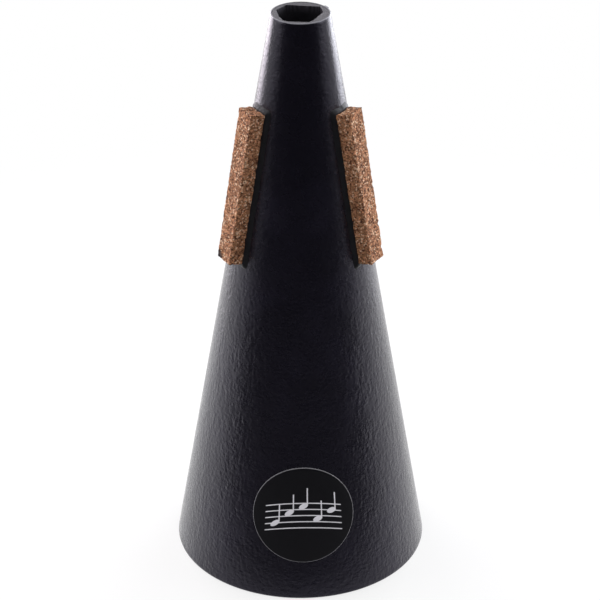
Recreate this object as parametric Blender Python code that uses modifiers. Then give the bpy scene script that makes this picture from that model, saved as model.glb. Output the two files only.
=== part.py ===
"""Cornet straight mute: a rolled card cone in a lacquered paper sleeve, closed at the wide end by
a disc, with three cork strips bedded in glue and a round label. Metres, +Z from the wide end to
the mouth, front towards -Y. Azimuths are degrees from the front, positive towards +X."""

import math

import bmesh
import bpy
from mathutils import Matrix, Vector

# The cone, measured over the sleeve
MUTE_HEIGHT = 0.165
BASE_RADIUS = 0.0367
MOUTH_RADIUS = 0.0081
SLEEVE_WALL = 0.0004
CORE_WALL = 0.0013
BOND_GAP = 0.00015

# The paper sleeve's overlap, which runs up the back
LAP_AZIMUTH = 116.0
LAP_SPAN = 12.0
LAP_RAMP = 4.0
LAP_CUT = 0.4

# The mouth, pressed thicker and then opened with a knife
LIP_THICKENING = 0.0013
LIP_LENGTH = 0.012
KNIFE_DEPTH = 0.014
KNIFE_CLEARANCE = 0.0006
KNIFE_RINGS = 5
# Each corner that the knife left: its azimuth, and the card left outside it
KNIFE_CORNERS = (
    (-42, 0.00055),
    (-28, 0.00055),
    (19, 0.00065),
    (33, 0.00125),
    (97, 0.0014),
    (130, 0.00065),
    (214, 0.00065),
    (243, 0.00095),
    (254, 0.00075),
    (294, 0.00125),
)

# The end disc and the glue bead that holds it
DISC_THICKNESS = 0.003
DISC_RECESS = 0.001
DISC_EDGE = 0.0004
BEAD_LEG = 0.0025
BEAD_ARC_POINTS = 4

# The cork strips and the glue under them
CORK_AZIMUTHS = {"left": -60, "right": 60, "rear": 180}
CORK_LENGTH = 0.0441
CORK_WIDTH = 0.0071
CORK_STAND = 0.0048
CORK_EDGE = 0.0004
CORK_TOP_FROM_MOUTH = 0.0259
GLUE_THICKNESS = 0.0003
GLUE_RIDGE = 0.00095
GLUE_MARGIN_SIDE = 0.0009
GLUE_MARGIN_END = 0.0013
GLUE_CORNER = 0.0012
GLUE_SLOPE = 0.0005

# The label
LABEL_RADIUS = 0.01465
LABEL_HEIGHT = 0.0258
LABEL_AZIMUTH = 1.5
LABEL_THICKNESS = 0.00015

ROUND_STEPS = 120
LABEL_STEPS = 72
EDGE_SEGMENTS = 2
CORNER_SEGMENTS = 4
OVERCUT = 0.002
SHARP_ANGLE = math.radians(28)

HALF_ANGLE = math.atan((BASE_RADIUS - MOUTH_RADIUS) / MUTE_HEIGHT)
SLEEVE_SEAT = SLEEVE_WALL + BOND_GAP
CORE_INSIDE = SLEEVE_SEAT + CORE_WALL


def cone_radius(z, inset=0.0):
    """Radius of the cone at height z, moved in by an inset that is measured square to the wall."""
    return BASE_RADIUS - math.tan(HALF_ANGLE) * z - inset / math.cos(HALF_ANGLE)


def bore_radius(z):
    """Radius inside the card, which the pressed lip narrows towards the mouth."""
    lip_share = max(0.0, 1 - (MUTE_HEIGHT - z) / LIP_LENGTH)
    return cone_radius(z, CORE_INSIDE) - LIP_THICKENING * lip_share


def on_circle(azimuth, radius, z):
    angle = math.radians(azimuth)
    return Vector((radius * math.sin(angle), -radius * math.cos(angle), z))


def surface_frame(azimuth, z):
    """A frame on the sleeve: X along the tangent, Y up the slope and Z straight out."""
    angle = math.radians(azimuth)
    turn = Matrix.Rotation(angle, 4, "Z")
    lean = Matrix.Rotation(math.pi / 2 - HALF_ANGLE, 4, "X")
    return Matrix.Translation(on_circle(azimuth, cone_radius(z), z)) @ turn @ lean


def new_collection(name):
    collection = bpy.data.collections.new(name)
    bpy.context.scene.collection.children.link(collection)
    return collection


def new_material(name, colour, roughness, metallic=0.0):
    material = bpy.data.materials.new(name)
    material.use_nodes = True
    material.diffuse_color = (*colour, 1.0)
    shader = material.node_tree.nodes["Principled BSDF"]
    shader.inputs["Base Color"].default_value = (*colour, 1.0)
    shader.inputs["Roughness"].default_value = roughness
    shader.inputs["Metallic"].default_value = metallic
    return material


def new_object(name, mesh, collection, frame=None):
    obj = bpy.data.objects.new(name, mesh)
    collection.objects.link(obj)
    if frame:
        obj.matrix_world = frame
    return obj


def mesh_from(name, shape):
    mesh = bpy.data.meshes.new(name)
    shape.to_mesh(mesh)
    shape.free()
    return mesh


def turned(name, profile, collection, closed=True):
    """A profile of (radius, z) points that runs down its outer side, turned about Z."""
    count = len(profile)
    edges = [(i, i + 1) for i in range(count - 1)]
    if closed:
        edges.append((count - 1, 0))
    mesh = bpy.data.meshes.new(name)
    mesh.from_pydata([(radius, 0.0, z) for radius, z in profile], edges, [])
    obj = new_object(name, mesh, collection)
    screw = obj.modifiers.new("Turn", "SCREW")
    screw.axis = "Z"
    screw.steps = ROUND_STEPS
    screw.render_steps = ROUND_STEPS
    screw.use_merge_vertices = True
    screw.merge_threshold = 1e-5
    return obj


def lofted(name, rings, collection, joined=False):
    """A skin over rings of equal counts, with its ends capped, or joined into one closed loop."""
    shape = bmesh.new()
    loops = [[shape.verts.new(point) for point in ring] for ring in rings]
    pairs = list(zip(loops, loops[1:]))
    if joined:
        pairs.append((loops[-1], loops[0]))
    for upper, lower in pairs:
        for i in range(len(upper)):
            j = (i + 1) % len(upper)
            shape.faces.new((upper[i], lower[i], lower[j], upper[j]))
    if not joined:
        shape.faces.new(loops[0])
        shape.faces.new(loops[-1][::-1])
    bmesh.ops.recalc_face_normals(shape, faces=shape.faces)
    return new_object(name, mesh_from(name, shape), collection)


def block(name, width, length, low, high, collection, frame, lean=0.0, corner=0.0):
    """A box in a surface frame, from low to high along its Z, as wide as given where Z is 0. Its
    sides lean in by a share of their height, and its upright edges may be rounded."""
    shape = bmesh.new()
    bmesh.ops.create_cube(shape, size=1.0)
    for vert in shape.verts:
        vert.co.z = high if vert.co.z > 0 else low
        vert.co.x *= width - 2 * lean * vert.co.z
        vert.co.y *= length - 2 * lean * vert.co.z
    if corner:
        upright = [e for e in shape.edges if abs(e.verts[0].co.z - e.verts[1].co.z) > (high - low) / 2]
        bmesh.ops.bevel(
            shape,
            geom=upright,
            offset=corner,
            segments=CORNER_SEGMENTS,
            profile=0.5,
            affect="EDGES",
        )
    return new_object(name, mesh_from(name, shape), collection, frame)


def boolean(obj, operation, cutter):
    modifier = obj.modifiers.new(cutter.name, "BOOLEAN")
    modifier.operation = operation
    modifier.solver = "EXACT"
    modifier.object = cutter


def rounded_edges(obj, width):
    bevel = obj.modifiers.new("Edges", "BEVEL")
    bevel.width = width
    bevel.segments = EDGE_SEGMENTS
    bevel.limit_method = "ANGLE"
    bevel.angle_limit = SHARP_ANGLE


def seat_cone(name, offset, cutters):
    """A solid cone that stands out from the sleeve by an offset, to cut or trim what is bent to it."""
    top = MUTE_HEIGHT + OVERCUT
    profile = (
        (0.0, top),
        (cone_radius(top, -offset), top),
        (cone_radius(-OVERCUT, -offset), -OVERCUT),
        (0.0, -OVERCUT),
    )
    return turned(name, profile, cutters, closed=False)


def sleeve_lift(azimuth):
    """How far the sleeve's outer face is lifted where its end climbs over its beginning."""
    past_start = azimuth - (LAP_AZIMUTH - LAP_RAMP)
    if past_start <= 0 or azimuth >= LAP_AZIMUTH + LAP_SPAN + LAP_CUT:
        return 0.0
    climb = min(1.0, past_start / LAP_RAMP)
    cut_off = min(1.0, (LAP_AZIMUTH + LAP_SPAN + LAP_CUT - azimuth) / LAP_CUT)
    return SLEEVE_WALL * min(climb, cut_off)


def outer_sleeve(parts):
    """The paper wound once round the core, with the overlap that its two edges make."""
    even = [360 * i / ROUND_STEPS for i in range(ROUND_STEPS)]
    lap_end = LAP_AZIMUTH + LAP_SPAN
    lap = [LAP_AZIMUTH - LAP_RAMP, LAP_AZIMUTH, lap_end, lap_end + LAP_CUT]
    azimuths = sorted(set(even + lap))

    def ring(z, inset, lifted):
        return [
            on_circle(a, cone_radius(z, inset - (sleeve_lift(a) if lifted else 0.0)), z)
            for a in azimuths
        ]

    rings = (
        ring(MUTE_HEIGHT, 0.0, True),
        ring(0.0, 0.0, True),
        ring(0.0, SLEEVE_WALL, False),
        ring(MUTE_HEIGHT, SLEEVE_WALL, False),
    )
    return lofted("outer_sleeve", rings, parts, joined=True)


def knife_outline_radius(azimuth):
    """Radius of the knife's straight-sided opening in one direction, at the rim."""
    core_edge = cone_radius(MUTE_HEIGHT, SLEEVE_SEAT)
    corners = [(a, core_edge - card) for a, card in KNIFE_CORNERS]
    corners.append((corners[0][0] + 360, corners[0][1]))
    turned_azimuth = azimuth if azimuth >= corners[0][0] else azimuth + 360
    for (a0, r0), (a1, r1) in zip(corners, corners[1:]):
        if a0 <= turned_azimuth <= a1:
            part_way = math.radians(turned_azimuth - a0)
            whole = math.radians(a1 - a0)
            across = r0 * math.sin(part_way) + r1 * math.sin(whole - part_way)
            return r0 * r1 * math.sin(whole) / across
    raise ValueError(f"no side of the opening lies at {azimuth} degrees")


def mouth_knife(cutters):
    """The opening's shape: straight knife cuts at the rim that fade into the round bore below."""
    even = [KNIFE_CORNERS[0][0] + 360 * i / ROUND_STEPS for i in range(ROUND_STEPS)]
    azimuths = sorted(set(even + [a for a, card in KNIFE_CORNERS]))
    round_end = bore_radius(MUTE_HEIGHT - KNIFE_DEPTH) - KNIFE_CLEARANCE
    rings = [[on_circle(a, knife_outline_radius(a), MUTE_HEIGHT + OVERCUT) for a in azimuths]]
    for i in range(KNIFE_RINGS):
        faded = i / (KNIFE_RINGS - 1)
        z = MUTE_HEIGHT - KNIFE_DEPTH * faded
        radii = [knife_outline_radius(a) * (1 - faded) + round_end * faded for a in azimuths]
        rings.append([on_circle(a, radius, z) for a, radius in zip(azimuths, radii)])
    return lofted("mouth_knife", rings, cutters)


def inner_cone(parts, cutters):
    """The rolled card that the mute is built on."""
    lip_foot = MUTE_HEIGHT - LIP_LENGTH
    profile = (
        (cone_radius(MUTE_HEIGHT, SLEEVE_SEAT), MUTE_HEIGHT),
        (cone_radius(0.0, SLEEVE_SEAT), 0.0),
        (bore_radius(0.0), 0.0),
        (bore_radius(lip_foot), lip_foot),
        (bore_radius(MUTE_HEIGHT), MUTE_HEIGHT),
    )
    core = turned("inner_cone", profile, parts)
    boolean(core, "DIFFERENCE", mouth_knife(cutters))
    return core


def base_disc(parts):
    """The disc pushed into the wide end until its edge meets the taper."""
    top = DISC_RECESS + DISC_THICKNESS
    edge_top = bore_radius(top) - BOND_GAP / math.cos(HALF_ANGLE)
    edge_bottom = bore_radius(DISC_RECESS) - BOND_GAP / math.cos(HALF_ANGLE)
    profile = (
        (0.0, top),
        (edge_top, top),
        (edge_bottom, DISC_RECESS + DISC_EDGE),
        (edge_bottom - DISC_EDGE, DISC_RECESS),
        (0.0, DISC_RECESS),
    )
    return turned("base_disc", profile, parts, closed=False)


def base_glue_bead(parts):
    """The bead run round the corner between the disc and the card, hollow on its open side."""
    foot = DISC_RECESS + DISC_THICKNESS + BOND_GAP
    head = foot + BEAD_LEG
    gap = BOND_GAP / math.cos(HALF_ANGLE)
    wall_head = bore_radius(head) - gap
    wall_foot = bore_radius(foot) - gap
    profile = [(wall_head, head), (wall_foot, foot)]
    for i in range(BEAD_ARC_POINTS):
        angle = math.pi / 2 * i / BEAD_ARC_POINTS
        wall_share = 1 - math.cos(angle)
        wall = wall_foot + (wall_head - wall_foot) * wall_share
        profile.append((wall - BEAD_LEG * (1 - math.sin(angle)), foot + BEAD_LEG * wall_share))
    return turned("base_glue_bead", profile, parts)


def cork_frame(azimuth):
    """The frame at the middle of a strip's seat."""
    centre_from_mouth = CORK_TOP_FROM_MOUTH + CORK_LENGTH / 2
    return surface_frame(azimuth, MUTE_HEIGHT - centre_from_mouth * math.cos(HALF_ANGLE))


def fall_away(half_width, z):
    """How far the cone falls away from its tangent at a distance to the side."""
    radius = cone_radius(z)
    return radius - math.sqrt(max(0.0, radius**2 - half_width**2))


def cork_and_bed(side, azimuth, parts, cutters, cones):
    """One cork strip, hollowed to the cone, and the glue that it was pressed into."""
    frame = cork_frame(azimuth)
    bed_width = CORK_WIDTH + 2 * GLUE_MARGIN_SIDE
    bed_length = CORK_LENGTH + 2 * GLUE_MARGIN_END
    top_z = MUTE_HEIGHT - CORK_TOP_FROM_MOUTH
    below = -fall_away(bed_width / 2, top_z) - OVERCUT

    cork = block(f"cork_strip_{side}", CORK_WIDTH, CORK_LENGTH, below, CORK_STAND, parts, frame)
    rounded_edges(cork, CORK_EDGE)
    boolean(cork, "DIFFERENCE", cones["cork_seat"])

    pocket = block(
        f"cork_pocket_{side}",
        CORK_WIDTH + 2 * BOND_GAP,
        CORK_LENGTH + 2 * BOND_GAP,
        below,
        CORK_STAND,
        cutters,
        frame,
    )
    boolean(pocket, "DIFFERENCE", cones["glue_floor"])

    bed = block(
        f"glue_bed_{side}",
        bed_width,
        bed_length,
        below,
        GLUE_RIDGE + OVERCUT,
        parts,
        frame,
        lean=GLUE_SLOPE / GLUE_RIDGE,
        corner=GLUE_CORNER,
    )
    boolean(bed, "INTERSECT", cones["glue_ridge"])
    boolean(bed, "DIFFERENCE", cones["sleeve_face"])
    boolean(bed, "DIFFERENCE", pocket)
    return cork, bed


def round_label(parts, cones):
    """The disc of film stuck to the front, bent to the cone."""
    reach = fall_away(LABEL_RADIUS, LABEL_HEIGHT) + OVERCUT
    shape = bmesh.new()
    bmesh.ops.create_cone(
        shape,
        cap_ends=True,
        segments=LABEL_STEPS,
        radius1=LABEL_RADIUS,
        radius2=LABEL_RADIUS,
        depth=2 * reach,
    )
    mesh = mesh_from("round_label", shape)
    label = new_object("round_label", mesh, parts, surface_frame(LABEL_AZIMUTH, LABEL_HEIGHT))
    boolean(label, "INTERSECT", cones["label_face"])
    boolean(label, "DIFFERENCE", cones["sleeve_face"])
    return label


def finish(obj, material):
    """Gives a piece its material, and fixes its modifiers so that its edges can be shaded."""
    obj.data.materials.clear()
    obj.data.materials.append(material)
    graph = bpy.context.evaluated_depsgraph_get()
    mesh = bpy.data.meshes.new_from_object(obj.evaluated_get(graph))
    obj.modifiers.clear()
    obj.data = mesh
    mesh.shade_smooth()
    mesh.set_sharp_from_angle(angle=SHARP_ANGLE)


def hide_cutters(cutters):
    cutters.hide_render = True
    for obj in cutters.objects:
        obj.hide_render = True
        obj.display_type = "WIRE"


def clear_scene():
    for obj in list(bpy.data.objects):
        bpy.data.objects.remove(obj)


def main():
    clear_scene()
    parts = new_collection("cornet_straight_mute")
    cutters = new_collection("cutters")
    card = new_material("rolled_card", (0.05, 0.047, 0.05), 0.6)
    lacquer = new_material("black_lacquer", (0.008, 0.008, 0.011), 0.3)
    board = new_material("fibre_board", (0.03, 0.028, 0.027), 0.7)
    cork = new_material("agglomerated_cork", (0.48, 0.27, 0.12), 0.85)
    glue = new_material("black_glue", (0.01, 0.01, 0.012), 0.35)
    clear_glue = new_material("amber_glue", (0.32, 0.2, 0.08), 0.3)
    film = new_material("label_film", (0.014, 0.014, 0.017), 0.35)

    cones = {
        "sleeve_face": seat_cone("sleeve_face", BOND_GAP, cutters),
        "glue_floor": seat_cone("glue_floor", BOND_GAP + GLUE_THICKNESS, cutters),
        "cork_seat": seat_cone("cork_seat", 2 * BOND_GAP + GLUE_THICKNESS, cutters),
        "glue_ridge": seat_cone("glue_ridge", GLUE_RIDGE, cutters),
        "label_face": seat_cone("label_face", BOND_GAP + LABEL_THICKNESS, cutters),
    }
    made = [
        (inner_cone(parts, cutters), card),
        (outer_sleeve(parts), lacquer),
        (base_disc(parts), board),
        (base_glue_bead(parts), clear_glue),
        (round_label(parts, cones), film),
    ]
    for side, azimuth in CORK_AZIMUTHS.items():
        strip, bed = cork_and_bed(side, azimuth, parts, cutters, cones)
        made += [(strip, cork), (bed, glue)]
    bpy.context.view_layer.update()
    for obj, material in made:
        finish(obj, material)
    hide_cutters(cutters)


main()
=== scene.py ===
"""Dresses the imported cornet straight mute: wrinkled black lacquer over a rolled card cone, a mouth
opened with a knife, cork strips in black glue and a round label, on a white sweep."""

import math
from collections import namedtuple

import bmesh
import bpy
from bpy.props import FloatProperty, FloatVectorProperty, PointerProperty
from mathutils import Matrix, Vector, noise


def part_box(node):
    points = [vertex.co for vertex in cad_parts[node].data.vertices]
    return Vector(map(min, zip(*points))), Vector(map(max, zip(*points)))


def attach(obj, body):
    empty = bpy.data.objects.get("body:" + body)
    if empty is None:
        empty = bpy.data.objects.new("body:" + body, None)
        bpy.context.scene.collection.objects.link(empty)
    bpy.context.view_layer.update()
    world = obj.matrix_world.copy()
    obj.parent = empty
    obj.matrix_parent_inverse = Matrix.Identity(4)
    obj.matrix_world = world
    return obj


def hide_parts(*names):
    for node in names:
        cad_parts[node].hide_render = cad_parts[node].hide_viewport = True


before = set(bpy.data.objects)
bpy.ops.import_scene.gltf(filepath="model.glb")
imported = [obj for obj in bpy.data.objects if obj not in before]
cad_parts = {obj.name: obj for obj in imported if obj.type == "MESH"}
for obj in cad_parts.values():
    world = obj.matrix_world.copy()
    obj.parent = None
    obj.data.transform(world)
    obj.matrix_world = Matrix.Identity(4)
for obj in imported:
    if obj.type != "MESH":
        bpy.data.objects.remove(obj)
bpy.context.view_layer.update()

bl_info = {
    "name": "Cornet straight mute",
    "version": (1, 0, 0),
    "blender": (4, 5, 0),
    "location": "3D View > Sidebar > Mute",
    "description": "Builds the finish of a cornet straight mute round its packed solids",
    "category": "Object",
}

MM = 0.001
SLEEVE_TOP_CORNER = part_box("outer_sleeve")[1]
HEIGHT = SLEEVE_TOP_CORNER[2]
BASE_RADIUS = SLEEVE_TOP_CORNER[0]
BOND_GAP = 0.15 * MM

# Every azimuth is in degrees from the front of the mute, positive towards +X
CORKS = {"left": -60, "right": 60, "rear": 180}
LAP_AZIMUTH = 116.0
LAP_SPAN = 12.0
LAP_RAMP = 4.0
LAP_CUT = 0.4
# Each corner that the knife left at the mouth: its azimuth, and the card left outside it
KNIFE_CORNERS = (
    (-42, 0.55 * MM),
    (-28, 0.55 * MM),
    (19, 0.65 * MM),
    (33, 1.25 * MM),
    (97, 1.4 * MM),
    (130, 0.65 * MM),
    (214, 0.65 * MM),
    (243, 0.95 * MM),
    (254, 0.75 * MM),
    (294, 1.25 * MM),
)
KNIFE_ROUGHNESS = 0.05 * MM
# How many millimetres below the rim the bore has a ring, closer together where the cuts are crisp
BORE_DEPTHS = (25, 18, 14, 12, 10, 8.5, 7, 6, 5, 4, 3.2, 2.5, 1.9, 1.4, 1.0, 0.7, 0.4, 0.2)


def length_property(name, description, default):
    return FloatProperty(name=name, description=description, default=default, unit="LENGTH")


def colour_property(name, description, default):
    return FloatVectorProperty(name=name, description=description, default=default, subtype="COLOR")


class MuteSizes(bpy.types.PropertyGroup):
    """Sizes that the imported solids' boxes don't give."""

    mouth_radius: length_property("Mouth radius", "Over the sleeve", 8.1 * MM)
    sleeve_wall: length_property("Sleeve wall", "Thickness of the paper", 0.4 * MM)
    core_wall: length_property("Card wall", "Thickness of the rolled card", 1.3 * MM)
    knife_depth: length_property("Knife depth", "How far down the cuts fade", 14 * MM)
    wrinkle_depth: length_property("Wrinkle depth", "Depth of the paper's creases", 0.022 * MM)
    cork_length: length_property("Cork length", "Length of a strip", 44.1 * MM)
    cork_width: length_property("Cork width", "Width of a strip", 7.1 * MM)
    cork_stand: length_property("Cork stand", "Height of a strip's face", 4.8 * MM)
    cork_from_mouth: length_property("Cork from mouth", "Down the slope", 25.9 * MM)
    glue_ridge: length_property("Glue ridge", "Height of the squeezed glue", 0.95 * MM)
    glue_margin: length_property("Glue margin", "Reach of the glue past the cork", 1.3 * MM)
    label_radius: length_property("Label radius", "Radius of the label", 14.65 * MM)
    label_height: length_property("Label height", "Height of its middle", 25.8 * MM)
    label_azimuth: FloatProperty(
        name="Label azimuth", description="Turn of the label", default=math.radians(1.5), subtype="ANGLE"
    )


class MuteColours(bpy.types.PropertyGroup):
    """Colours of the finishes."""

    lacquer: colour_property("Lacquer", "Black lacquer", (0.0056, 0.005, 0.0088))
    # Painted highlight: this pale colour is painted along the sleeve's top and bottom edges
    painted_edge_highlight: colour_property("Rubbed edge", "Paper rubbed bare at the ends", (0.2, 0.2, 0.22))
    card: colour_property("Card", "Cut face of the card", (0.06, 0.056, 0.07))
    cork: colour_property("Cork", "Grains of the cork", (0.86, 0.4, 0.205))
    cork_pale: colour_property("Pale cork", "Palest grains of the cork", (0.98, 0.7, 0.48))
    cork_dark: colour_property("Dark cork", "Bark in the cork", (0.085, 0.026, 0.013))
    glue: colour_property("Glue", "Black glue", (0.012, 0.012, 0.014))
    film: colour_property("Label film", "Face of the label", (0.0055, 0.0053, 0.0075))
    marks: colour_property("Label marks", "Pale marks and edge of the label", (0.8, 0.79, 0.84))
    board: colour_property("Board", "Painted fibre board", (0.022, 0.021, 0.02))
    amber: colour_property("Amber glue", "Dried glue inside", (0.32, 0.2, 0.08))


def sizes():
    return bpy.context.scene.mute_sizes


def colours():
    return bpy.context.scene.mute_colours


def shade(colour, share):
    """A colour made darker, or lighter where the share is over 1."""
    return [channel * share for channel in colour]


def connect(tree, place, item):
    """Puts a number, a colour or a link into a socket."""
    if isinstance(item, Value):
        tree.links.new(item.socket, place)
    else:
        place.default_value = item


def add_node(tree, kind, settings=None, inputs=None, output=0):
    """Adds a node, with its settings first, and returns one of its outputs."""
    node = tree.nodes.new(kind)
    for name, value in (settings or {}).items():
        setattr(node, name, value)
    for name, item in (inputs or {}).items():
        connect(tree, node.inputs[name], item)
    return Value(tree, node.outputs[output])


class Value:
    """A shader socket that Python arithmetic works on."""

    def __init__(self, tree, socket):
        self.tree = tree
        self.socket = socket

    def maths(self, operation, *items):
        return add_node(self.tree, "ShaderNodeMath", {"operation": operation}, dict(enumerate(items)))

    def __add__(self, other):
        return self.maths("ADD", self, other)

    def __sub__(self, other):
        return self.maths("SUBTRACT", self, other)

    def __rsub__(self, other):
        return self.maths("SUBTRACT", other, self)

    def __mul__(self, other):
        return self.maths("MULTIPLY", self, other)

    def __truediv__(self, other):
        return self.maths("DIVIDE", self, other)

    def __rtruediv__(self, other):
        return self.maths("DIVIDE", other, self)

    def __pow__(self, other):
        return self.maths("POWER", self, other)

    def __rpow__(self, other):
        return self.maths("POWER", other, self)

    def __abs__(self):
        return self.maths("ABSOLUTE", self)

    __radd__ = __add__
    __rmul__ = __mul__

    def sine(self):
        return self.maths("SINE", self)

    def either(self, other):
        """The larger of two."""
        return self.maths("MAXIMUM", self, other)

    def smooth(self, low, high):
        """A soft step from 0 at low to 1 at high. Where low is the higher, it is 1 below and 0 above."""
        first, last = min(low, high), max(low, high)
        inputs = {"Value": self, "From Min": first, "From Max": last}
        step = add_node(self.tree, "ShaderNodeMapRange", {"interpolation_type": "SMOOTHSTEP"}, inputs)
        return step if low < high else 1 - step


class Finish:
    """A material being put together round its Principled shader."""

    EVEN = (1.0, 1.0, 1.0)
    # A colour Mix node names its colour sockets as it does its number ones, so they go by place
    MIX_FACTOR, MIX_FIRST, MIX_SECOND, MIX_RESULT = 0, 6, 7, 2

    def __init__(self, name, specular=0.5):
        self.material = bpy.data.materials.new(name)
        self.material.use_nodes = True
        self.tree = self.material.node_tree
        self.shader = self.tree.nodes["Principled BSDF"]
        self.shader.inputs["Specular IOR Level"].default_value = specular

    def node(self, kind, settings=None, inputs=None, output=0):
        return add_node(self.tree, kind, settings, inputs, output)

    def place(self, stretch=EVEN):
        """Where a point lies on the mute, in metres, stretched for a grain that runs one way."""
        place = self.node("ShaderNodeTexCoord", output="Object")
        return self.node("ShaderNodeVectorMath", {"operation": "MULTIPLY"}, {0: place, 1: stretch})

    def axes(self):
        place = self.node("ShaderNodeTexCoord", output="Object")
        return [self.node("ShaderNodeSeparateXYZ", inputs={0: place}, output=axis) for axis in "XYZ"]

    def noise(self, ripples, detail=3.0, stretch=EVEN, distortion=0.0):
        """Soft noise with so many ripples to a metre."""
        inputs = {"Scale": ripples, "Detail": detail, "Distortion": distortion}
        return self.node("ShaderNodeTexNoise", inputs={"Vector": self.place(stretch), **inputs})

    def cells(self, count, feature="F1", output="Distance"):
        """Grains, so many to a metre."""
        inputs = {"Vector": self.place(), "Scale": count}
        return self.node("ShaderNodeTexVoronoi", {"feature": feature}, inputs, output)

    def mix(self, factor, first, second):
        """A colour between two."""
        inputs = {self.MIX_FACTOR: factor}
        for place, colour in ((self.MIX_FIRST, first), (self.MIX_SECOND, second)):
            inputs[place] = colour if isinstance(colour, Value) else (*colour, 1.0)
        return self.node("ShaderNodeMix", {"data_type": "RGBA"}, inputs, self.MIX_RESULT)

    def blend(self, factor, first, second):
        """A shader between two."""
        return self.node("ShaderNodeMixShader", inputs={0: factor, 1: first, 2: second})

    def colour(self, item):
        connect(self.tree, self.shader.inputs["Base Color"], item)

    def roughness(self, item):
        connect(self.tree, self.shader.inputs["Roughness"], item)

    def bump(self, height, distance, strength):
        inputs = {"Height": height, "Distance": distance, "Strength": strength}
        connect(self.tree, self.shader.inputs["Normal"], self.node("ShaderNodeBump", inputs=inputs))


def half_angle():
    return math.atan((BASE_RADIUS - sizes().mouth_radius) / HEIGHT)


def cone_radius(z, inset=0.0):
    """Radius of the cone at height z, moved in by an inset that is measured square to the wall."""
    lean = half_angle()
    return BASE_RADIUS - math.tan(lean) * z - inset / math.cos(lean)


def on_circle(azimuth, radius, z):
    angle = math.radians(azimuth)
    return Vector((radius * math.sin(angle), -radius * math.cos(angle), z))


def surface_frame(azimuth, z):
    """A frame on the sleeve: X along the tangent, Y up the slope and Z straight out."""
    turn = Matrix.Rotation(math.radians(azimuth), 4, "Z")
    lean = Matrix.Rotation(math.pi / 2 - half_angle(), 4, "X")
    return Matrix.Translation(on_circle(azimuth, cone_radius(z), z)) @ turn @ lean


def fall_away(side, z):
    """How far the cone falls away from its tangent at a distance to the side."""
    radius = cone_radius(z)
    return radius - math.sqrt(max(0.0, radius**2 - side**2))


def grain(point, ripples, octaves=3, seed=0.0):
    """Soft noise from -1 to 1 at a place on the mute, with so many ripples to a metre."""
    place = Vector(point) * ripples + Vector((seed, seed, seed))
    return noise.fractal(place, 1.0, 2.0, octaves)


def azimuths_with(extra, columns=480):
    """Even azimuths all round, with those added at which a shape has an edge."""
    even = [360 * column / columns for column in range(columns)]
    return sorted(set(even + [azimuth % 360 for azimuth in extra]))


def mesh_from(shape, name):
    """Turns a finished bmesh into a mesh."""
    mesh = bpy.data.meshes.new(name)
    shape.to_mesh(mesh)
    shape.free()
    return mesh


def ring_mesh(name, rings):
    """A closed skin over rings of equal counts, the last joined to the first."""
    count = len(rings[0])
    faces = []
    for upper in range(len(rings)):
        lower = (upper + 1) % len(rings)
        for i in range(count):
            j = (i + 1) % count
            corners = (upper * count + i, lower * count + i, lower * count + j, upper * count + j)
            faces.append(corners)
    mesh = bpy.data.meshes.new(name)
    mesh.from_pydata([point for ring in rings for point in ring], [], faces)
    return mesh


def add_piece(mesh, node, finish, sharp=40):
    """Links a dressed piece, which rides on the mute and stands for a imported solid."""
    mesh.shade_smooth()
    mesh.set_sharp_from_angle(angle=math.radians(sharp))
    mesh.materials.append(finish.material)
    piece = bpy.data.objects.new(mesh.name, mesh)
    bpy.context.scene.collection.objects.link(piece)
    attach(piece, "root")
    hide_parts(node)


def lacquer_finish():
    """Black lacquer that has sunk into finely creased paper, with a highlight painted along its two ends.
    """
    finish = Finish("wrinkled_black_lacquer", specular=0.36)
    finish.shader.inputs["Specular Tint"].default_value = (0.84, 0.8, 1.0, 1.0)
    z = finish.axes()[2]
    streaks = finish.noise(1000, stretch=(1.0, 1.0, 0.4), distortion=0.3)
    pebbles = finish.noise(900, stretch=(1.0, 1.0, 1.3), distortion=0.2)
    swell = finish.noise(160, detail=2, stretch=(1.0, 1.0, 0.6))
    less_near_mouth = 0.35 + 0.65 * z.smooth(130 * MM, 60 * MM)
    relief = (streaks + pebbles + swell) * 0.5 * less_near_mouth
    finish.bump(relief, distance=0.36 * MM, strength=1.0)
    finish.roughness(0.2 + 0.14 * finish.noise(300))
    thin = finish.noise(60, detail=4).smooth(0.4, 0.75)
    lacquer = finish.mix(thin, colours().lacquer, shade(colours().lacquer, 1.7))
    # Painted highlight: a thin pale line painted on the top edge, and half as strong on the bottom edge
    top_edge = z.smooth(HEIGHT - 0.25 * MM, HEIGHT - 0.08 * MM)
    base_edge = z.smooth(0.3 * MM, 0.12 * MM) * 0.5
    finish.colour(finish.mix(top_edge.either(base_edge) * 0.85, lacquer, colours().painted_edge_highlight))
    return finish


def sleeve_lift(azimuth):
    """How far the sleeve's face is lifted where its end climbs over its beginning, as a share."""
    lap_foot = LAP_AZIMUTH + LAP_SPAN + LAP_CUT
    past_start = azimuth - (LAP_AZIMUTH - LAP_RAMP)
    if past_start <= 0 or azimuth >= lap_foot:
        return 0.0
    return min(1.0, past_start / LAP_RAMP, (lap_foot - azimuth) / LAP_CUT)


def crease(azimuth, z):
    """How far the paper's creases, which run up the cone, sink its face."""
    place = on_circle(azimuth, cone_radius(z), z)
    stretched = (place.x, place.y, place.z * 0.34)
    fine = grain(stretched, 430)
    broad = grain(stretched, 90, octaves=2, seed=7.0)
    return sizes().wrinkle_depth * (0.5 * (1 - abs(fine)) + 0.9 * (0.5 - 0.5 * broad))


def sleeve_ring(azimuths, z, inset, creased=False):
    """A ring of the sleeve at height z, which follows the lap on all but its inner face."""
    wall = sizes().sleeve_wall
    points = []
    for azimuth in azimuths:
        lift = wall * sleeve_lift(azimuth) if inset < wall else 0.0
        sunk = crease(azimuth, z) if creased else 0.0
        points.append(on_circle(azimuth, cone_radius(z, inset - lift + sunk), z))
    return points


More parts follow.
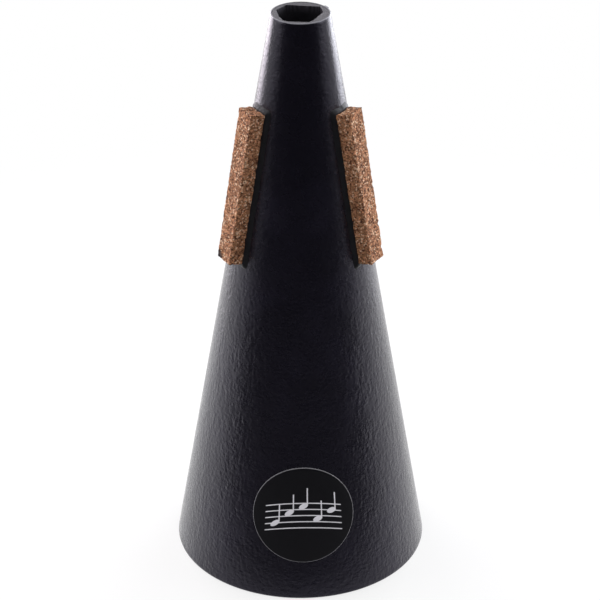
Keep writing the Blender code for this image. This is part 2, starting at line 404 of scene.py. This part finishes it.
class MUTE_OT_sleeve(bpy.types.Operator):
    """Winds the creased paper sleeve, with its overlap at the back"""

    bl_idname = "mute.sleeve"
    bl_label = "Paper sleeve"

    def execute(self, context):
        wall = sizes().sleeve_wall
        edge = 0.12 * MM
        edge_middle = 0.3 * edge
        rows = 280
        lap_end = LAP_AZIMUTH + LAP_SPAN
        azimuths = azimuths_with((LAP_AZIMUTH - LAP_RAMP, LAP_AZIMUTH, lap_end, lap_end + LAP_CUT))
        rings = [
            sleeve_ring(azimuths, HEIGHT, wall),
            sleeve_ring(azimuths, HEIGHT, edge),
            sleeve_ring(azimuths, HEIGHT - edge_middle, edge_middle),
        ]
        for row in range(rows + 1):
            z = HEIGHT - edge - (HEIGHT - 2 * edge) * row / rows
            rings.append(sleeve_ring(azimuths, z, 0.0, creased=0 < row < rows))
        rings += [
            sleeve_ring(azimuths, edge_middle, edge_middle),
            sleeve_ring(azimuths, 0.0, edge),
            sleeve_ring(azimuths, 0.0, wall),
        ]
        mesh = ring_mesh("lacquered_sleeve", rings)
        add_piece(mesh, "outer_sleeve", lacquer_finish())
        return {"FINISHED"}


def card_finish():
    """Cut card, stained dark, with its wound layers showing as rings on the rim, and painted shade deeper
    down the bore.
    """
    finish = Finish("stained_card", specular=0.35)
    layer = 0.42 * MM
    x, y, z = finish.axes()
    radius = (x * x + y * y) ** 0.5
    wobble = finish.noise(180) * 0.5 * MM
    layers = ((radius + wobble) * (math.tau / layer)).sine() * 0.5 + 0.5
    fibres = finish.noise(1400, detail=5)
    # Painted shade: from 0.3 mm to 2.5 mm below the rim the card darkens to 0.28 of its colour, and stays
    # so down the bore
    rim = z.smooth(HEIGHT - 2.5 * MM, HEIGHT - 0.3 * MM)
    card = colours().card
    face = finish.mix(layers * 0.7 + fibres * 0.3, shade(card, 0.3), card)
    finish.colour(finish.mix(rim, shade(card, 0.28), face))
    finish.bump(layers * 0.35 + fibres, distance=0.12 * MM, strength=0.7)
    finish.roughness(0.38 + 0.25 * fibres)
    return finish


def knife_radius(azimuth):
    """Radius of the knife's straight-sided opening in one direction, at the rim."""
    card_edge = cone_radius(HEIGHT, sizes().sleeve_wall + BOND_GAP)
    corners = [(a, card_edge - card) for a, card in KNIFE_CORNERS]
    corners.append((corners[0][0] + 360, corners[0][1]))
    if azimuth > corners[-1][0]:
        azimuth -= 360
    for (a0, r0), (a1, r1) in zip(corners, corners[1:]):
        if a0 <= azimuth <= a1:
            part_way = math.radians(azimuth - a0)
            whole = math.radians(a1 - a0)
            across = r0 * math.sin(part_way) + r1 * math.sin(whole - part_way)
            return r0 * r1 * math.sin(whole) / across
    raise ValueError(f"no side of the opening lies at {azimuth} degrees")


def card_seat():
    """Inset of the card's outer face, which lies just inside the sleeve's inner one."""
    return sizes().sleeve_wall + 0.03 * MM


def card_inside():
    """Inset of the card's inner face."""
    return sizes().sleeve_wall + BOND_GAP + sizes().core_wall


def bore_radius(azimuth, depth):
    """The opening's radius at a depth below the rim: knife cuts that turn into the round bore."""
    faded = min(1.0, depth / sizes().knife_depth)
    return knife_radius(azimuth) * (1 - faded) + cone_radius(HEIGHT - depth, card_inside()) * faded


def bore_ring(azimuths, depth):
    """A ring of the bore, left rough by the knife."""
    points = []
    for azimuth in azimuths:
        radius = bore_radius(azimuth, depth)
        rough = KNIFE_ROUGHNESS * grain(on_circle(azimuth, radius, HEIGHT - depth), 500)
        points.append(on_circle(azimuth, radius + rough, HEIGHT - depth))
    return points


def rim_ring(azimuths, share, sink=0.0):
    """A ring of the rim's cut face: share is 0 at the sleeve and 1 at the opening."""
    outer = cone_radius(HEIGHT, card_seat())
    points = []
    for azimuth in azimuths:
        radius = outer + (bore_radius(azimuth, 0.0) - outer) * share
        place = on_circle(azimuth, radius, HEIGHT)
        rough = grain(place, 700) - 1 if 0 < share < 1 else -1
        points.append(place + Vector((0, 0, KNIFE_ROUGHNESS * rough - sink)))
    return points


class MUTE_OT_core(bpy.types.Operator):
    """Rolls the card cone and cuts its mouth open"""

    bl_idname = "mute.core"
    bl_label = "Card cone"

    def execute(self, context):
        azimuths = azimuths_with([azimuth for azimuth, card in KNIFE_CORNERS])
        rings = []
        for inset in (card_seat(), card_inside()):
            rings.append([on_circle(azimuth, cone_radius(0.0, inset), 0.0) for azimuth in azimuths])
        rings += [bore_ring(azimuths, HEIGHT * share) for share in (0.6, 0.3)]
        rings += [bore_ring(azimuths, depth * MM) for depth in BORE_DEPTHS]
        rings.append(rim_ring(azimuths, 1.0, sink=0.04 * MM))
        rings += [rim_ring(azimuths, tenths / 10) for tenths in range(9, -1, -1)]
        mesh = ring_mesh("rolled_card_cone", rings)
        add_piece(mesh, "inner_cone", card_finish(), sharp=50)
        return {"FINISHED"}


def cork_frame(azimuth):
    """The frame of a strip on the sleeve, and the height of its middle."""
    centre = sizes().cork_from_mouth + sizes().cork_length / 2
    z = HEIGHT - centre * math.cos(half_angle())
    return surface_frame(azimuth, z), z


def paint_smear(finish):
    """Where lacquer was smeared on the far lower corner of the left strip."""
    corner = Vector((-sizes().cork_width / 2, -sizes().cork_length / 2, sizes().cork_stand))
    inputs = {0: finish.place(), 1: cork_frame(CORKS["left"])[0] @ corner}
    away = finish.node("ShaderNodeVectorMath", {"operation": "DISTANCE"}, inputs, "Value")
    raggedness = 3 * MM
    ragged = away + (finish.noise(500, detail=2) - 0.5) * raggedness
    return ragged.smooth(2.8 * MM, 1.8 * MM)


def cork_finish():
    """Pressed cork: pale grains of many tones, bark between them and open pores."""
    finish = Finish("pressed_cork", specular=0.25)
    finish.roughness(0.85)
    grains_per_metre = 2100
    cork = colours().cork
    dark = colours().cork_dark
    tint = finish.cells(grains_per_metre, output="Color")
    tone = finish.node("ShaderNodeSeparateColor", inputs={0: tint})
    joints = finish.cells(grains_per_metre, feature="DISTANCE_TO_EDGE")
    fine = finish.noise(3000, detail=4)
    bark = finish.noise(1600, distortion=0.4).smooth(0.5, 0.62)
    pores = finish.cells(1200).smooth(0.32, 0.16)
    grained = finish.mix(tone, shade(cork, 0.34), shade(cork, 1.1))
    pale = finish.mix(tone.smooth(0.78, 0.92) * 0.85, grained, colours().cork_pale)
    flecked = finish.mix(bark * tone.smooth(0.8, 0.35) * 0.95, pale, dark)
    edged = finish.mix(joints.smooth(0.14, 0.0) * 0.5, flecked, dark)
    pitted = finish.mix(pores * 0.8, edged, dark)
    finish.colour(finish.mix(paint_smear(finish) * 0.92, pitted, colours().lacquer))
    relief = fine * 0.5 + joints.smooth(0.0, 0.2) * 0.6 - pores * 0.9
    finish.bump(relief, distance=0.35 * MM, strength=1.0)
    return finish


def cork_block():
    """A bevelled strip, cut fine enough to crumble, that stands on Z = 0."""
    extent = (sizes().cork_width, sizes().cork_length, sizes().cork_stand)
    lows = (-extent[0] / 2, -extent[1] / 2, 0.0)
    spacings = (0.4 * MM, 0.45 * MM, 0.4 * MM)
    bevel = 0.45 * MM
    shape = bmesh.new()
    bmesh.ops.create_cube(shape, size=1.0)
    for vert in shape.verts:
        vert.co.x *= extent[0]
        vert.co.y *= extent[1]
        vert.co.z = (vert.co.z + 0.5) * extent[2]
    edges = shape.edges[:]
    bmesh.ops.bevel(shape, geom=edges, offset=bevel, segments=3, profile=0.6, affect="EDGES")
    for axis in range(3):
        cuts = round(extent[axis] / spacings[axis])
        normal = [1.0 if i == axis else 0.0 for i in range(3)]
        for cut in range(1, cuts):
            point = [0.0, 0.0, 0.0]
            point[axis] = lows[axis] + extent[axis] * cut / cuts
            whole = shape.verts[:] + shape.edges[:] + shape.faces[:]
            bmesh.ops.bisect_plane(shape, geom=whole, plane_co=point, plane_no=normal)
    shape.normal_update()
    return shape


def crumble(shape, where, seed):
    """Crumbles and pits a strip's faces, and leaves them a little wavy."""
    crumb_depth, pit_depth, wave_height = 0.18 * MM, 1.2 * MM, 0.04 * MM
    for vert in shape.verts:
        place = where @ vert.co
        crumb = 1 - grain(place, 1150, seed=seed)
        pit = max(0.0, grain(place, 420, octaves=2, seed=seed + 3.0) - 0.15) ** 2
        wave = grain(place, 60, octaves=2, seed=seed + 9.0)
        vert.co -= vert.normal * (crumb_depth * crumb + pit_depth * pit - wave_height * wave)


def seat_on_cone(shape, middle):
    """Hollows the underside of a strip, whose middle is at that height, and keeps its outer face flat."""
    glue_below = 0.6 * MM
    for vert in shape.verts:
        z = middle + vert.co.y * math.cos(half_angle())
        share = min(1.0, max(0.0, vert.co.z / sizes().cork_stand))
        vert.co.z += (glue_below - fall_away(vert.co.x, z)) * (1 - share)


class MUTE_OT_corks(bpy.types.Operator):
    """Cuts the cork strips, hollowed to the cone, with crumbled edges"""

    bl_idname = "mute.corks"
    bl_label = "Cork strips"

    def execute(self, context):
        finish = cork_finish()
        for seed, (side, azimuth) in enumerate(CORKS.items()):
            where, middle = cork_frame(azimuth)
            shape = cork_block()
            crumble(shape, where, seed)
            seat_on_cone(shape, middle)
            shape.transform(where)
            mesh = mesh_from(shape, f"cork_{side}")
            add_piece(mesh, f"cork_strip_{side}", finish, sharp=60)
        return {"FINISHED"}


def glue_finish():
    """Black glue, dried with a soft shine and a few smears."""
    finish = Finish("black_glue", specular=0.18)
    lumps = finish.noise(420, detail=4, distortion=0.4)
    finish.bump(lumps, distance=0.25 * MM, strength=0.8)
    finish.roughness(0.3 + 0.3 * finish.noise(260))
    finish.colour(finish.mix(lumps, shade(colours().glue, 0.6), shade(colours().glue, 1.6)))
    return finish


def glue_height(place, side, slope, seed):
    """Height of the squeezed glue over the sleeve, which falls to nothing at its ragged outline."""
    tighter_at_sides = 0.72
    sunk = 0.12 * MM
    past_side = max(0.0, abs(side) - sizes().cork_width / 2) / tighter_at_sides
    past_end = max(0.0, abs(slope) - sizes().cork_length / 2)
    reach = sizes().glue_margin * (1 + 0.22 * grain(place, 260, octaves=2, seed=seed))
    away = min(1.0, math.hypot(past_side, past_end) / reach)
    lumpy = 1 + 0.12 * grain(place, 500, octaves=2)
    return sizes().glue_ridge * (1 - away**2) * lumpy - sunk


def glue_sheet(shape, azimuth, seed, across, along):
    """The upper face of a glue bed, or where there is no seed its smooth lower one, as rows of points."""
    underside = -0.2 * MM
    side_margins, end_margins = 0.95, 1.25
    where, middle = cork_frame(azimuth)
    half_width = sizes().cork_width / 2 + side_margins * sizes().glue_margin
    half_length = sizes().cork_length / 2 + end_margins * sizes().glue_margin
    sheet = []
    for j in range(along + 1):
        slope = (2 * j / along - 1) * half_length
        z = middle + slope * math.cos(half_angle())
        row = []
        for i in range(across + 1):
            side = (2 * i / across - 1) * half_width
            height = underside
            if seed is not None:
                height = glue_height(where @ Vector((side, slope, 0.0)), side, slope, seed)
            row.append(shape.verts.new(where @ Vector((side, slope, height - fall_away(side, z)))))
        sheet.append(row)
    return sheet


def close_sheets(shape, top, bottom, across, along):
    """Fills two sheets of points, and the wall between their borders."""
    for sheet in (top, bottom):
        for low, high in zip(sheet, sheet[1:]):
            for i in range(across):
                shape.faces.new((low[i], low[i + 1], high[i + 1], high[i]))
    border = [(0, i) for i in range(across)] + [(j, across) for j in range(along)]
    border += [(along, i) for i in range(across, 0, -1)] + [(j, 0) for j in range(along, 0, -1)]
    for (j0, i0), (j1, i1) in zip(border, border[1:] + border[:1]):
        shape.faces.new((top[j0][i0], top[j1][i1], bottom[j1][i1], bottom[j0][i0]))
    bmesh.ops.recalc_face_normals(shape, faces=shape.faces)


class MUTE_OT_glue(bpy.types.Operator):
    """Lays the glue that squeezed out round each strip"""

    bl_idname = "mute.glue"
    bl_label = "Glue beds"

    def execute(self, context):
        finish = glue_finish()
        across, along = 56, 190
        for seed, (side, azimuth) in enumerate(CORKS.items()):
            shape = bmesh.new()
            top = glue_sheet(shape, azimuth, seed, across, along)
            bottom = glue_sheet(shape, azimuth, None, across, along)
            close_sheets(shape, top, bottom, across, along)
            mesh = mesh_from(shape, f"glue_{side}")
            add_piece(mesh, f"glue_bed_{side}", finish)
        return {"FINISHED"}


def painted_line(distance, half_width):
    """A printed line, 1 on it and 0 past its soft edge."""
    return abs(distance).smooth(half_width + 0.08 * MM, half_width - 0.04 * MM)


def note(across, up):
    """A note, measured from the middle of its head."""
    leaning = up - across * 0.35
    width_squared, height_squared = 1.9, 0.8
    head = across * across / width_squared + leaning * leaning / height_squared
    stem_side, stem_half_width = 1.12 * MM, 0.15 * MM
    stem_middle, stem_half_length = 2.9 * MM, 2.7 * MM
    stem = painted_line(across - stem_side, stem_half_width)
    stem = stem * painted_line(up - stem_middle, stem_half_length)
    return head.smooth(1.0 * MM**2, 0.75 * MM**2).either(stem)


def stave_marks(side, rise):
    """A bowed stave with five notes, on the label's own two axes."""
    space = 1.9 * MM
    line_half_width = 0.13 * MM
    bow_per_metre = 14.0
    height = rise + side * side * bow_per_metre
    marks = painted_line(height - 2 * space, line_half_width)
    for step in (-2, -1, 0, 1):
        marks = marks.either(painted_line(height - step * space, line_half_width))
    marks = marks * abs(side).smooth(11.0 * MM, 10.7 * MM)
    # Each note: how far to the side it stands in millimetres, and its pitch in spaces
    for place, pitch in ((-8.0, -1.0), (-4.0, 0.5), (0.0, 1.5), (4.0, -0.5), (8.0, 1.0)):
        marks = marks.either(note(side - place * MM, height - pitch * space))
    return marks


def label_finish():
    """Satin black film with a pale cut edge and a plain stave of notes."""
    finish = Finish("label_film", specular=0.25)
    radius = sizes().label_radius
    x, y, z = finish.axes()
    azimuth = x.maths("ARCTAN2", x, y * -1.0)
    side = (azimuth - sizes().label_azimuth) * cone_radius(sizes().label_height)
    rise = (z - sizes().label_height) / math.cos(half_angle())
    out = (side * side + rise * rise) ** 0.5
    edge = out.smooth(radius - 0.22 * MM, radius - 0.1 * MM) * 0.3
    worn = 0.82 + 0.18 * finish.noise(900)
    pale = edge.either(stave_marks(side, rise)) * worn
    finish.colour(finish.mix(pale, colours().film, colours().marks))
    finish.roughness(0.3 + 0.12 * finish.noise(500))
    finish.bump(finish.noise(420, stretch=(1.0, 1.0, 0.5)), distance=0.05 * MM, strength=0.5)
    return finish


def on_label(radius, turn, out):
    """A point of the label, wrapped on the cone and so far out from it."""
    middle = sizes().label_height
    z = middle + radius * math.sin(turn) * math.cos(half_angle())
    azimuth = sizes().label_azimuth + radius * math.cos(turn) / cone_radius(middle)
    return on_circle(math.degrees(azimuth), cone_radius(z, -out), z)


class MUTE_OT_label(bpy.types.Operator):
    """Sticks the round label to the front"""

    bl_idname = "mute.label"
    bl_label = "Round label"

    def execute(self, context):
        radius = sizes().label_radius
        spokes, loops = 128, 16
        face, shoulder, back = 0.24 * MM, 0.17 * MM, 0.03 * MM
        cut_width = 0.08 * MM
        steps = [radius * step / loops for step in range(1, loops)] + [radius - cut_width]
        profile = [(r, face) for r in steps] + [(radius, shoulder), (radius, back)]
        profile += [(r, back) for r in reversed(steps)]
        turns = [math.tau * spoke / spokes for spoke in range(spokes)]
        shape = bmesh.new()
        rings = [[shape.verts.new(on_label(r, turn, out)) for turn in turns] for r, out in profile]
        for inner, outer in zip(rings, rings[1:]):
            for i in range(spokes):
                j = (i + 1) % spokes
                shape.faces.new((inner[i], outer[i], outer[j], inner[j]))
        for ring, out in ((rings[0], face), (rings[-1], back)):
            hub = shape.verts.new(on_label(0.0, 0.0, out))
            for i in range(spokes):
                shape.faces.new((hub, ring[i], ring[(i + 1) % spokes]))
        bmesh.ops.recalc_face_normals(shape, faces=shape.faces)
        add_piece(mesh_from(shape, "film_label"), "round_label", label_finish())
        return {"FINISHED"}


def board_finish():
    """Fibre board under thin black paint."""
    finish = Finish("painted_fibre_board")
    board = colours().board
    fibres = finish.noise(900, detail=5, distortion=1.2)
    blotches = finish.noise(90)
    finish.colour(finish.mix(fibres * 0.7 + blotches * 0.3, shade(board, 0.55), shade(board, 1.7)))
    finish.bump(fibres, distance=0.2 * MM, strength=0.7)
    finish.roughness(0.45 + 0.25 * blotches)
    return finish


def amber_finish():
    """Amber glue, dried in lumps."""
    finish = Finish("amber_glue")
    lumps = finish.noise(350)
    finish.colour(finish.mix(lumps, shade(colours().amber, 0.6), colours().amber))
    finish.bump(lumps, distance=0.3 * MM, strength=0.8)
    finish.roughness(0.25)
    return finish


class MUTE_OT_base(bpy.types.Operator):
    """Paints the end disc and the glue bead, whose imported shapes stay"""

    bl_idname = "mute.base"
    bl_label = "End disc"

    def execute(self, context):
        for node, finish in (("base_disc", board_finish()), ("base_glue_bead", amber_finish())):
            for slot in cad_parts[node].material_slots:
                slot.material = finish.material
        return {"FINISHED"}


CAMERA_ELEVATION = math.radians(29.046)
CAMERA_DISTANCE = 627.8 * MM
CAMERA_AIM = 77.66 * MM
CAMERA_LENS = 132.23
CAMERA_SHIFT = -0.00085

SWEEP_RADIUS = 320 * MM
SWEEP_DROP = 0.2 * MM
SWEEP_PAINT = (0.8, 0.8, 0.8)
SWEEP_MIRRORED = (0.12, 0.12, 0.12)
WHITE = (1.0, 1.0, 1.0)
# Azimuth in degrees; height, distance from the mute's axis and size in metres; power in watts
Softbox = namedtuple("Softbox", "name azimuth height distance size power tint")
SOFTBOXES = (
    Softbox("left_softbox", -142, 0.25, 1.0, 0.9, 16.0, (1.0, 0.92, 0.99)),
    Softbox("right_softbox", 142, 0.25, 1.0, 0.9, 15.0, (0.92, 0.93, 1.0)),
    Softbox("left_side", -82, 0.35, 0.9, 0.5, 2.4, (1.0, 0.97, 0.98)),
    Softbox("right_side", 82, 0.35, 0.9, 0.5, 2.4, (0.97, 0.98, 1.0)),
    Softbox("top_fill", 0, 1.2, 0.5, 0.8, 5.5, WHITE),
)


def sweep_finish():
    """White to the eye, less so near the mute, so that its shadow stays. In the lacquer's reflections
    the sweep is brighter than white behind the mute, and dark in front of it."""
    finish = Finish("white_sweep", specular=0.0)
    finish.roughness(0.9)
    seen = finish.node("ShaderNodeLightPath", output="Is Camera Ray")
    mirrored = finish.node("ShaderNodeLightPath", output="Is Glossy Ray")
    x, y, z = finish.axes()
    far = ((x * x + y * y) ** 0.5).smooth(100 * MM, 280 * MM)
    behind = y.smooth(-65 * MM, -10 * MM)
    finish.colour(finish.mix(mirrored, SWEEP_PAINT, SWEEP_MIRRORED))
    glow = finish.node("ShaderNodeEmission", inputs={"Strength": 1.0})
    bright_glow = finish.node("ShaderNodeEmission", inputs={"Strength": 1.5})
    painted = Value(finish.tree, finish.shader.outputs[0])
    near_share = 0.72
    share = (seen * (near_share + (1 - near_share) * far)).either(mirrored * behind)
    surface = finish.blend(share, painted, finish.blend(mirrored, glow, bright_glow))
    connect(finish.tree, finish.tree.nodes["Material Output"].inputs["Surface"], surface)
    return finish


class MUTE_OT_stage(bpy.types.Operator):
    """Sets the white sweep, the soft lights and the camera"""

    bl_idname = "mute.stage"
    bl_label = "Stage"

    def execute(self, context):
        self.add_camera(context.scene)
        self.add_world(context.scene)
        self.add_sweep(context.scene)
        for softbox in SOFTBOXES:
            self.add_softbox(context.scene, softbox)
        context.scene.view_settings.view_transform = "Standard"
        return {"FINISHED"}

    def add_camera(self, scene):
        lens = bpy.data.cameras.new("photo_camera")
        lens.lens = CAMERA_LENS
        lens.shift_x = CAMERA_SHIFT
        camera = bpy.data.objects.new("photo_camera", lens)
        camera.location = (
            0.0,
            -CAMERA_DISTANCE * math.cos(CAMERA_ELEVATION),
            CAMERA_AIM + CAMERA_DISTANCE * math.sin(CAMERA_ELEVATION),
        )
        camera.rotation_euler = (math.pi / 2 - CAMERA_ELEVATION, 0.0, 0.0)
        scene.collection.objects.link(camera)
        scene.camera = camera

    def add_softbox(self, scene, softbox):
        lamp = bpy.data.lights.new(softbox.name, "AREA")
        lamp.size = softbox.size
        lamp.energy = softbox.power
        lamp.color = softbox.tint
        light = bpy.data.objects.new(softbox.name, lamp)
        light.location = on_circle(softbox.azimuth, softbox.distance, softbox.height)
        aim = Vector((0.0, 0.0, HEIGHT / 2)) - light.location
        light.rotation_euler = aim.to_track_quat("-Z", "Y").to_euler()
        light.visible_camera = False
        scene.collection.objects.link(light)

    def add_world(self, scene):
        """White to the eye; as light, white from behind and the sides and dark from the front."""
        world = bpy.data.worlds.new("white_room")
        world.use_nodes = True
        tree = world.node_tree
        direction = add_node(tree, "ShaderNodeTexCoord", output="Generated")
        forward = add_node(tree, "ShaderNodeSeparateXYZ", inputs={0: direction}, output="Y")
        seen = add_node(tree, "ShaderNodeLightPath", output="Is Camera Ray")
        background = tree.nodes["Background"]
        background.inputs["Color"].default_value = (*WHITE, 1.0)
        front_light = 0.03
        strength = seen.either(front_light + (1 - front_light) * forward.smooth(-0.5, 0.3))
        connect(tree, background.inputs["Strength"], strength)
        scene.world = world

    def add_sweep(self, scene):
        shape = bmesh.new()
        bmesh.ops.create_circle(shape, cap_ends=True, radius=SWEEP_RADIUS, segments=96)
        mesh = mesh_from(shape, "white_sweep")
        mesh.materials.append(sweep_finish().material)
        sweep = bpy.data.objects.new("white_sweep", mesh)
        sweep.location = (0.0, 0.0, -SWEEP_DROP)
        scene.collection.objects.link(sweep)


class MUTE_PT_panel(bpy.types.Panel):
    """The mute's sizes, colours and pieces"""

    bl_idname = "MUTE_PT_panel"
    bl_label = "Straight mute"
    bl_space_type = "VIEW_3D"
    bl_region_type = "UI"
    bl_category = "Mute"

    def draw(self, context):
        for group in (context.scene.mute_sizes, context.scene.mute_colours):
            for name in group.bl_rna.properties.keys():
                if name not in ("rna_type", "name"):
                    self.layout.prop(group, name)
        for operator in OPERATORS:
            self.layout.operator(operator.bl_idname)


OPERATORS = (
    MUTE_OT_core,
    MUTE_OT_sleeve,
    MUTE_OT_corks,
    MUTE_OT_glue,
    MUTE_OT_label,
    MUTE_OT_base,
    MUTE_OT_stage,
)
CLASSES = (MuteSizes, MuteColours, *OPERATORS, MUTE_PT_panel)


def register():
    for item in CLASSES:
        bpy.utils.register_class(item)
    bpy.types.Scene.mute_sizes = PointerProperty(type=MuteSizes)
    bpy.types.Scene.mute_colours = PointerProperty(type=MuteColours)


def unregister():
    del bpy.types.Scene.mute_colours
    del bpy.types.Scene.mute_sizes
    for item in reversed(CLASSES):
        bpy.utils.unregister_class(item)


def main():
    register()
    bpy.ops.mute.core()
    bpy.ops.mute.sleeve()
    bpy.ops.mute.corks()
    bpy.ops.mute.glue()
    bpy.ops.mute.label()
    bpy.ops.mute.base()
    bpy.ops.mute.stage()


if __name__ == "__main__":
    main()
